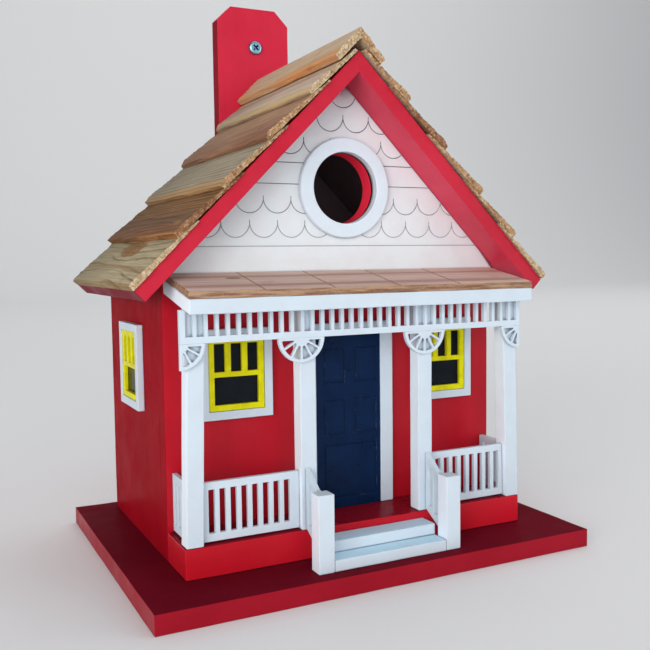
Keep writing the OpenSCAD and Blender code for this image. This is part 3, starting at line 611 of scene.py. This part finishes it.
def rough_board(name, outline, length, counts, relief, ends, butt, seed, score=(), drop=0.0):
    """A split board in its own space: X along the grain, Y across it, Z through it, in counts cells.
    outline holds its four corners (y, z): low edge bottom, low edge top, high edge top, high edge bottom.
    score holds cuts across the top: place along the board, half width and depth. relief, ends, butt and drop
    are in millimetres: the top's ribs, the torn ends, the uneven low edge and the thickness worn off it."""
    nu, nv, nw = counts
    (y0, z0), (y1, z1), (y2, z2), (y3, z3) = outline
    bm = bmesh.new()
    us = [i / nu for i in range(nu + 1)]
    # Denser rows close to both torn ends.
    us = sorted(set([u * 0.97 + 0.015 for u in us] + [0.0, 0.004, 0.009, 0.991, 0.996, 1.0]))

    def surface(u, v, w):
        along = u * length
        top_y, top_z = y1 + (y2 - y1) * v, z1 + (z2 - z1) * v
        low_y, low_z = y0 + (y3 - y0) * v, z0 + (z3 - z0) * v
        across = low_y + (top_y - low_y) * w
        height = low_z + (top_z - low_z) * w
        a, c = along / MM, (across - y0) / MM
        rib = fractal(a * 0.012, c * 0.42, seed, 4) + 0.35 * fractal(a * 0.03, c * 1.9, seed + 5, 3)
        height += rib * relief * MM * w
        worn = max(0.0, 1 - v / 0.13) ** 2 * (0.75 + 0.9 * fractal(a * 0.035, 3.0, seed + 41, 2))
        height -= worn * drop * MM * w
        edge_v = max(0.0, 1 - abs(v) / 0.06)
        ragged = fractal(a * 0.05, w * 2.0, seed + 11, 3) + 0.4 * fractal(a * 0.4, w * 6, seed + 17, 3)
        across += edge_v * butt * MM * ragged
        for side, near in ((-1, 1 - u / 0.03), (1, 1 - (1 - u) / 0.03)):
            near = max(0.0, min(1.0, near))
            if near:
                torn = fractal(c * 0.16, side * 7.0, seed + 23, 3)
                torn += 0.75 * fractal(c * 0.85, w * 6.0 + side, seed + 29, 4)
                along += side * near * ends * MM * (torn - 0.25)
                height += near * ends * 0.30 * MM * fractal(c * 0.9, side * 3.0, seed + 31, 3) * (2 * w - 1)
                across += near * ends * 0.25 * MM * fractal(c * 0.9, w * 3 + side, seed + 37, 2)
        for at, wide, deep in score:
            gap = abs(along - at) / wide
            if gap < 1 and w == 1:
                height -= deep * (1 - gap * gap)
        return Vector((along, across, height))

    if score:
        extra = []
        for at, wide, deep in score:
            extra += [(at + k * wide) / length for k in (-1.05, -0.6, 0.0, 0.6, 1.05)]
        us = sorted(set(us + extra))
    # Walk round the section: top from low edge to high edge, down the high edge, back under, up the low edge.
    ring = [(v / nv, 1.0) for v in range(nv + 1)]
    ring += [(1.0, 1 - k / nw) for k in range(1, nw + 1)]
    ring += [(1 - v / nv, 0.0) for v in range(1, nv + 1)]
    ring += [(0.0, k / nw) for k in range(1, nw)]
    loops = [[bm.verts.new(surface(u, v, w)) for v, w in ring] for u in us]
    count = len(ring)
    for a, b in zip(loops, loops[1:]):
        for k in range(count):
            bm.faces.new((a[k], b[k], b[(k + 1) % count], a[(k + 1) % count]))
    for loop, u, flip in ((loops[0], us[0], False), (loops[-1], us[-1], True)):
        grid = {}
        for k, (v, w) in enumerate(ring):
            grid[(round(v * nv), round(w * nw))] = loop[k]
        for j in range(1, nv):
            for k in range(1, nw):
                grid[(j, k)] = bm.verts.new(surface(u, j / nv, k / nw))
        for j in range(nv):
            for k in range(nw):
                quad = [grid[(j, k)], grid[(j + 1, k)], grid[(j + 1, k + 1)], grid[(j, k + 1)]]
                bm.faces.new(quad[::-1] if flip else quad)
    bmesh.ops.recalc_face_normals(bm, faces=bm.faces)
    mesh = bpy.data.meshes.new(name)
    bm.to_mesh(mesh)
    bm.free()
    return mesh


# ---------------------------------------------------------------- the roof's cedar shakes

ROOT2 = math.sqrt(2)
ridge_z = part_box("roof_panel_right")[1].z


def slope_profile(node):
    """The node's side of the roof, and its four section corners, each as a distance down the slope and a
    height above the roof board."""
    side = -1 if "left" in node else 1
    found = {}
    for v in nodes[node].data.vertices:
        x, z = side * v.co.x, v.co.z - ridge_z
        s, h = (x - z) / ROOT2, (x + z) / ROOT2
        found[(round(s, 5), round(h, 5))] = (s, h)
    return side, sorted(found.values())


def slope_matrix(side, y):
    """Board space to the row frame: X along +Y, Y up the slope, Z out of the roof."""
    up_slope = Vector((-side, 0, 1)) / ROOT2
    out = Vector((side, 0, 1)) / ROOT2
    along = Vector((0, 1, 0))
    return Matrix.Translation((0, y, ridge_z)) @ Matrix((along, up_slope, out)).transposed().to_4x4()


# The butt colours and the torn-end kinds give each shake's end its wood tone together with painted shade, and
# with painted light bounced up from the red fascia.
ORANGE, UMBER, STRAW = (0.46, 0.20, 0.065), (0.17, 0.070, 0.030), (0.52, 0.37, 0.16)
# For each shake: its light and dark wood and its butt edge, bands of another color (color, middle up from the
# butt, half width), knots (along, up from the butt, half width), growth rings per metre, how much the rings
# wander, how dark they are and where in a ring the dark part starts, the kind of torn end, and in millimetres
# how much of the butt's thickness is worn off and how much shorter than its CAD board it is.
SHAKES = {
    "shingle_left_1": dict(
        light=(0.395, 0.33, 0.2), dark=(0.115, 0.048, 0.013), butt=(0.3, 0.18, 0.07),
        bands=[((0.3, 0.2, 0.095), 0.01, 0.0025)],
        knots=[(0.066, 0.0258, 0.0062)], rings=150, wave=2.3, dark_share=1.0, late_from=0.68,
        ends="pale", worn=0.9, short=0.8),
    "shingle_left_2": dict(
        light=(0.235, 0.112, 0.036), dark=(0.062, 0.023, 0.007), butt=ORANGE,
        bands=[((0.21, 0.09, 0.042), 0.004, 0.005), ((0.15, 0.078, 0.04), 0.012, 0.005)],
        knots=[(0.014, 0.008, 0.0016)], rings=330, wave=1.3, dark_share=0.8, late_from=0.3,
        ends="brown", worn=1.0, short=0.0),
    "shingle_left_3": dict(
        light=(0.35, 0.292, 0.2), dark=(0.11, 0.08, 0.046), butt=ORANGE,
        bands=[((0.42, 0.25, 0.11), 0.001, 0.003)],
        knots=[], rings=330, wave=0.5, dark_share=0.95, late_from=0.55,
        ends="tan", worn=2.2, short=0.0),
    "shingle_left_4": dict(
        light=(0.4, 0.235, 0.14), dark=(0.15, 0.066, 0.032), butt=(0.34, 0.16, 0.075),
        bands=[((0.22, 0.092, 0.052), 0.003, 0.006), ((0.29, 0.15, 0.092), 0.012, 0.005)],
        knots=[], rings=360, wave=0.9, dark_share=0.6, late_from=0.35,
        ends="tan", worn=2.3, short=0.0),
    "shingle_left_5": dict(
        light=(0.54, 0.415, 0.305), dark=(0.34, 0.205, 0.13), butt=(0.2, 0.1, 0.045),
        bands=[(STRAW, 0.0012, 0.0016),
               ((0.42, 0.35, 0.3), 0.009, 0.003),
               ((0.38, 0.215, 0.15), 0.016, 0.003)],
        knots=[], rings=300, wave=0.8, dark_share=0.55, late_from=0.4,
        ends="pale", worn=3.4, short=0.0),
    "shingle_right_1": dict(
        light=(0.42, 0.32, 0.21), dark=(0.19, 0.11, 0.06), butt=ORANGE,
        bands=[((0.3, 0.15, 0.07), 0.012, 0.005)],
        knots=[(0.095, 0.018, 0.003)], rings=240, wave=1.6, dark_share=0.75, late_from=0.45,
        ends="pale", worn=0.8, short=2.0),
    "shingle_right_2": dict(
        light=(0.35, 0.25, 0.16), dark=(0.15, 0.08, 0.045), butt=UMBER,
        bands=[((0.22, 0.11, 0.055), 0.005, 0.005)],
        knots=[], rings=320, wave=0.8, dark_share=0.75, late_from=0.35,
        ends="tan", worn=1.5, short=0.4),
    "shingle_right_3": dict(
        light=(0.46, 0.37, 0.25), dark=(0.22, 0.13, 0.07), butt=ORANGE,
        bands=[((0.38, 0.2, 0.08), 0.006, 0.004)],
        knots=[(0.04, 0.015, 0.0022)], rings=210, wave=2.4, dark_share=0.85, late_from=0.5,
        ends="tan", worn=1.0, short=0.2),
    "shingle_right_4": dict(
        light=(0.34, 0.23, 0.15), dark=(0.15, 0.075, 0.04), butt=UMBER,
        bands=[((0.18, 0.08, 0.042), 0.018, 0.007)],
        knots=[], rings=360, wave=0.8, dark_share=0.7, late_from=0.35,
        ends="brown", worn=1.8, short=0.0),
    "shingle_right_5": dict(
        light=(0.46, 0.36, 0.25), dark=(0.26, 0.16, 0.09), butt=STRAW,
        bands=[(STRAW, 0.003, 0.003)],
        knots=[], rings=280, wave=1.0, dark_share=0.6, late_from=0.4,
        ends="tan", worn=1.6, short=0.0),
    "ridge_cap_left": dict(
        light=(0.54, 0.4, 0.265), dark=(0.37, 0.225, 0.13), butt=(0.62, 0.23, 0.055),
        bands=[((0.56, 0.27, 0.09), 0.0022, 0.0026)],
        knots=[], rings=260, wave=0.9, dark_share=0.45, late_from=0.4,
        ends="pale", worn=0.9, short=0.0),
    "ridge_cap_right": dict(
        light=(0.5, 0.37, 0.24), dark=(0.28, 0.16, 0.09), butt=ORANGE,
        bands=[((0.42, 0.2, 0.07), 0.005, 0.0022)],
        knots=[], rings=240, wave=1.0, dark_share=0.5, late_from=0.4,
        ends="tan", worn=0.8, short=0.0),
}


def make_shakes():
    """One rough board in the place of each shingle and ridge cap."""
    for index, (node, look) in enumerate(SHAKES.items()):
        side, corners = slope_profile(node)
        low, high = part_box(node)
        (s3, h3), (s2, h2) = sorted(corners[:2], key=lambda c: c[1])
        (s0, h0), (s1, h1) = sorted(corners[-2:], key=lambda c: c[1])
        s0, s1 = s0 - look["short"] * MM, s1 - look["short"] * MM
        outline = [(-s0, h0), (-s1, h1), (-s2, h2), (-s3, h3)]
        mesh = rough_board(node, outline, high.y - low.y, (110, 44, 5), relief=0.62, ends=1.7, butt=0.9,
                           seed=3.1 + 7.7 * index, drop=look["worn"])
        place = slope_matrix(side, low.y)
        bands = [(look["butt"], -s0, 1.1 * MM)]
        bands += [(color, y - s0, width) for color, y, width in look["bands"]]
        knots = [(x, y - s0, size) for x, y, size in look["knots"]]
        move = (0.31 * index, 0.017 * index, 0)
        # Painted shade towards the back of the roof: slight on the ridge caps, stronger on the shingles.
        far_end_shade = 0.12 if node.startswith("ridge") else 0.42
        material = wood("cedar_" + node, look["light"], look["dark"], bands, look["rings"], look["wave"],
                        knots, move, look["dark_share"], look["late_from"], far_end_shade)
        piece = bpy.data.objects.new("shake_" + node.replace("shingle_", ""), mesh)
        piece.matrix_world = place
        scene.collection.objects.link(piece)
        mesh.materials.append(material)
        mesh.materials.append(END_GRAIN[look["ends"]])
        for face in mesh.polygons:
            if abs(face.normal.x) > 0.55:
                face.material_index = 1
        mesh.shade_smooth()
        mesh.set_sharp_from_angle(angle=SHARP)
        stand_for(piece, node)


def end_grain(name, dark, middle, light):
    """The torn end of a split shake: coarse, crumbly wood."""
    shade = Shade(name, roughness=0.85, specular=0.12)
    crumbs = shade.noise(shade.scaled(shade.at, (320, 620, 460)), 1.0, 4, 0.68, 0.8)
    fine = shade.noise(shade.at, 2000, 3, 0.7)
    patch = shade.noise(shade.at, 170, 3)
    base = shade.mix(shade.ramp(crumbs, 0.36, 0.47), dark, middle)
    base = shade.mix(shade.ramp(crumbs, 0.50, 0.62), base, light)
    base = shade.mix(shade.ramp(fine, 0.50, 0.80, 0.0, 0.35), base, light)
    base = shade.mix(shade.ramp(patch, 0.52, 0.72, 0.0, 0.55), base, dark)
    shade.color(base)
    shade.bump(crumbs, 0.8, 0.6 * MM)
    shade.bump(fine, 0.5, 0.20 * MM)
    return shade.material


def make_porch_slab():
    """The porch roof's boards, with a shallow cut between each and the next."""
    node = "porch_roof_slab"
    low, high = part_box(node)
    points = {}
    for v in nodes[node].data.vertices:
        points[(round(v.co.y, 5), round(v.co.z, 5))] = (v.co.y, v.co.z)
    front = sorted((p for p in points.values() if p[0] < low.y + 1e-5), key=lambda p: p[1])
    back = sorted((p for p in points.values() if p[0] > high.y - 1e-5), key=lambda p: p[1])
    outline = [front[0], front[-1], back[-1], back[0]]
    cuts, half_width, depth = (-60, -23.6, 12.8, 49.2), 0.55 * MM, 0.45 * MM
    score = [(at * MM - low.x, half_width, depth) for at in cuts]
    mesh = rough_board(node, outline, high.x - low.x, (190, 34, 4), relief=0.20, ends=0.8, butt=0.55,
                       seed=91.3, score=score)
    piece = bpy.data.objects.new("porch_roof_boards", mesh)
    piece.matrix_world = Matrix.Translation((low.x, 0, 0))
    scene.collection.objects.link(piece)
    front_y = low.y
    bands = [((0.40, 0.235, 0.190), front_y + 0.009, 0.0035), ((0.70, 0.540, 0.465), front_y + 0.019, 0.004),
             ((0.41, 0.255, 0.205), front_y + 0.028, 0.003)]
    knots = [(0.030, front_y + 0.024, 0.0012)]
    material = wood("porch_cedar", (0.67, 0.500, 0.425), (0.40, 0.250, 0.200), bands, 230, 0.7, knots,
                    (0, 0.02, 0), 0.50)
    mesh.materials.append(material)
    mesh.materials.append(SAWN_EDGE)
    for face in mesh.polygons:
        if abs(face.normal.x) > 0.6 or face.normal.y < -0.6:
            face.material_index = 1
    mesh.shade_smooth()
    mesh.set_sharp_from_angle(angle=SHARP)
    stand_for(piece, node)


def sawn_edge(name):
    """The rough brown sawn edge of the porch roof boards."""
    shade = Shade(name, roughness=0.8, specular=0.2)
    streaks = shade.noise(shade.scaled(shade.at, (60, 900, 900)), 1.0, 4, 0.6)
    fine = shade.noise(shade.at, 2200, 3, 0.7)
    patch = shade.noise(shade.at, 75, 3)
    base = shade.mix(shade.ramp(streaks, 0.35, 0.65), (0.20, 0.095, 0.055), (0.43, 0.27, 0.165))
    base = shade.mix(shade.ramp(fine, 0.5, 0.75, 0.0, 0.5), base, (0.54, 0.40, 0.28))
    base = shade.mix(shade.ramp(patch, 0.55, 0.75, 0.0, 0.5), base, (0.18, 0.090, 0.05))
    shade.color(base)
    shade.bump(streaks, 0.6, 0.4 * MM)
    shade.bump(fine, 0.5, 0.2 * MM)
    return shade.material


# ---------------------------------------------------------------- put it together

make_camera()
make_studio()

# The nest chamber's half width, front, back and floor, and the hole's centre and radius, with a little slack.
slack = 0.3 * MM
CHAMBER = (abs(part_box("left_wall")[1].x) + slack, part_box("front_wall")[1].y - slack,
           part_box("back_wall")[0].y + slack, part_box("base_board")[1].z - slack)
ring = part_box("entrance_ring")
hole_radius = 18.6 * MM
HOLE = ((ring[0].x + ring[1].x) / 2, (ring[0].z + ring[1].z) / 2, hole_radius + slack)
# The reds below are one paint in lit and shaded copies. Their lift, pink and specular are set for the light
# that falls on each one's faces, so the differences are painted light and shade. The base top, the deck top,
# the side walls and the walls' side faces, the underside of the left eave, the hanging board's side faces and
# the base's edges get darker copies: painted shade. The right soffit gets a brighter, pinker copy: a painted
# reflection of the white gable. The hanging board's front and the turn button get a slightly brighter copy,
# and the front and back walls a slightly darker one.
RED_Z = red_paint("red_upright_grain", 2, lift=1.08, pink=2.4)
RED_EDGE_SHADED = red_paint("red_board_edge_shaded", 2, lift=0.44, specular=0.012, pink=0.8)
RED_X = red_paint("red_level_grain", 0)
RED_BASE_SHADED = red_paint("red_base_edge_shaded", 0, lift=0.60, specular=0.07)
RED_TOP_SHADED = red_paint("red_base_top_shaded", 0, gloss=0.46, lift=0.29, specular=0.005, pink=0.8)
RED_DECK_SHADED = red_paint("red_deck_top_shaded", 0, gloss=0.30, lift=0.52, specular=0.030)
RED_WALL = red_paint("red_wall", 2, lift=0.90, chamber=True)
RED_SIDE_SHADED = red_paint("red_side_wall_shaded", 2, lift=0.57, specular=0.005, chamber=True, pink=0.6)
RED_EAVE_SHADED = red_paint("red_under_eave_shaded", 1, lift=0.37, specular=0.008, chamber=True)
RED_ROOF = red_paint("red_roof_board", 1, chamber=True, pink=2.0)
RED_SOFFIT_LIT = red_paint("red_right_soffit_lit", 1, lift=1.2, specular=0.24, chamber=True, pink=4.0)
WHITE_Z = white_paint("white_upright", 2)
WHITE_X = white_paint("white_level", 0)
# Painted light: the left-facing sides of the posts, newels and porch roof board get a brighter white copy.
WHITE_SIDE_LIT = white_paint("white_left_side_lit", 2, (0.82, 0.90, 0.97), 0.50)
WHITE_RING = white_paint("white_ring", 2, (0.670, 0.770, 0.845))
# Painted light: the step tops get a brighter, bluer white copy, a painted reflection of the sky.
WHITE_STEP_LIT = white_paint("white_step_top_lit", 0, (0.600, 0.860, 1.000))
YELLOW = yellow_paint("yellow_sash")
END_GRAIN = {
    "pale": end_grain("torn_end_pale", (0.30, 0.17, 0.085), (0.50, 0.37, 0.22), (0.66, 0.54, 0.38)),
    "tan": end_grain("torn_end_tan", (0.22, 0.095, 0.045), (0.42, 0.25, 0.125), (0.62, 0.46, 0.29)),
    "brown": end_grain("torn_end_brown", (0.13, 0.052, 0.027), (0.27, 0.125, 0.060), (0.45, 0.28, 0.15)),
}
SAWN_EDGE = sawn_edge("sawn_edge")
line_depth = 0.5 * MM
gable_face, door_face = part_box("gable_panel")[0].y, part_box("front_door")[0].y
GABLE = white_paint("gable_white", 0, (0.735, 0.790, 0.815), scored=(gable_face, line_depth))
NAVY = navy_paint("navy_door", door_face, line_depth)
low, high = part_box("mounting_screw")
ZINC = screw_metal("zinc_plate", (0.36, 0.69, 0.87),
                   Vector(((low.x + high.x) / 2, low.y, (low.z + high.z) / 2)))
STEEL = screw_metal("plain_steel", (0.55, 0.55, 0.56))

carve("base_board", RED_BASE_SHADED, 1.1, (8, 8, 4), 0.16, 1.0, RED_TOP_SHADED)
carve("porch_deck", RED_X, 0.6, (8, 8, 5), 0.14, 2.0, RED_DECK_SHADED)
for side, seed in (("left", 3.0), ("right", 4.0)):
    carve(side + "_wall", RED_SIDE_SHADED, 0.5, (5, 9, 9), 0.12, seed)
    carve("roof_panel_" + side, RED_ROOF, 0.18, (9, 9, 9), 0.12, seed + 2,
          RED_EAVE_SHADED if side == "left" else RED_SOFFIT_LIT, lambda normal: normal.z < -0.3)
carve("front_wall", RED_WALL, 0.4, (9, 5, 9), 0.10, 7.0, RED_SIDE_SHADED, lambda normal: abs(normal.x) > 0.5)
carve("back_wall", RED_WALL, 0.5, (9, 5, 9), 0.10, 8.0, RED_SIDE_SHADED, lambda normal: abs(normal.x) > 0.5)
carve("mounting_board", RED_Z, 0.6, (8, 5, 8), 0.14, 9.0, RED_EDGE_SHADED, lambda normal: abs(normal.x) > 0.9)
carve("cleanout_door", RED_X, 0.5, (9, 5, 9), 0.02, 10.0)
carve("door_stop", RED_X, 0.5, (9, 5, 5), 0.08, 11.0)
carve("turn_button", RED_Z, 0.5, (9, 5, 9), 0.01, 12.0)

keep("gable_panel", GABLE, 0)
carve("entrance_ring", WHITE_RING, 0.25, (6, 6, 6), 0.06, 13.0)
carve("porch_roof_board", WHITE_X, 0.8, (8, 5, 5), 0.12, 14.0, WHITE_SIDE_LIT, faces_left)
carve("frieze", WHITE_X, 0.22, (8, 8, 8), 0.05, 15.0)
soften("half_fans", WHITE_X, 0.22, 0.04, 16.0)
soften("quarter_fans", WHITE_X, 0.22, 0.04, 17.0)
for index, name in enumerate(("outer_left", "inner_left", "inner_right", "outer_right")):
    carve("post_" + name, WHITE_Z, 0.5, (5, 5, 7), 0.10, 20.0 + index, WHITE_SIDE_LIT, faces_left)
for index, name in enumerate(("front_railing", "side_railing", "stair_rail")):
    for side in ("left", "right"):
        carve(name + "_" + side, WHITE_X, 0.25, (7, 7, 7), 0.06, 30.0 + index * 2 + len(side))
for index, name in enumerate(("newel_left", "newel_right")):
    carve(name, WHITE_Z, 0.5, (5, 5, 7), 0.10, 40.0 + index, WHITE_SIDE_LIT, faces_left)
for index, name in enumerate(("lower_step", "upper_step")):
    carve(name, WHITE_X, 0.5, (7, 7, 5), 0.10, 42.0 + index, WHITE_STEP_LIT)
carve("door_casing", WHITE_Z, 0.4, (6, 6, 7), 0.08, 45.0)
for index, name in enumerate(("front_left", "front_right", "side_left", "side_right")):
    carve("casing_" + name, WHITE_Z, 0.35, (6, 6, 6), 0.06, 50.0 + index)
    carve("sash_" + name, YELLOW, 0.30, (6, 6, 6), 0.05, 55.0 + index)
keep("front_door", NAVY, 0.18)
keep("window_panes", pane_paint("dark_pane"), 0.1)
keep("mounting_screw", ZINC, 0.12)
for name in ("board_screws", "pivot_pins", "turn_button_screw"):
    keep(name, STEEL, 0.1)
make_shakes()
make_porch_slab()
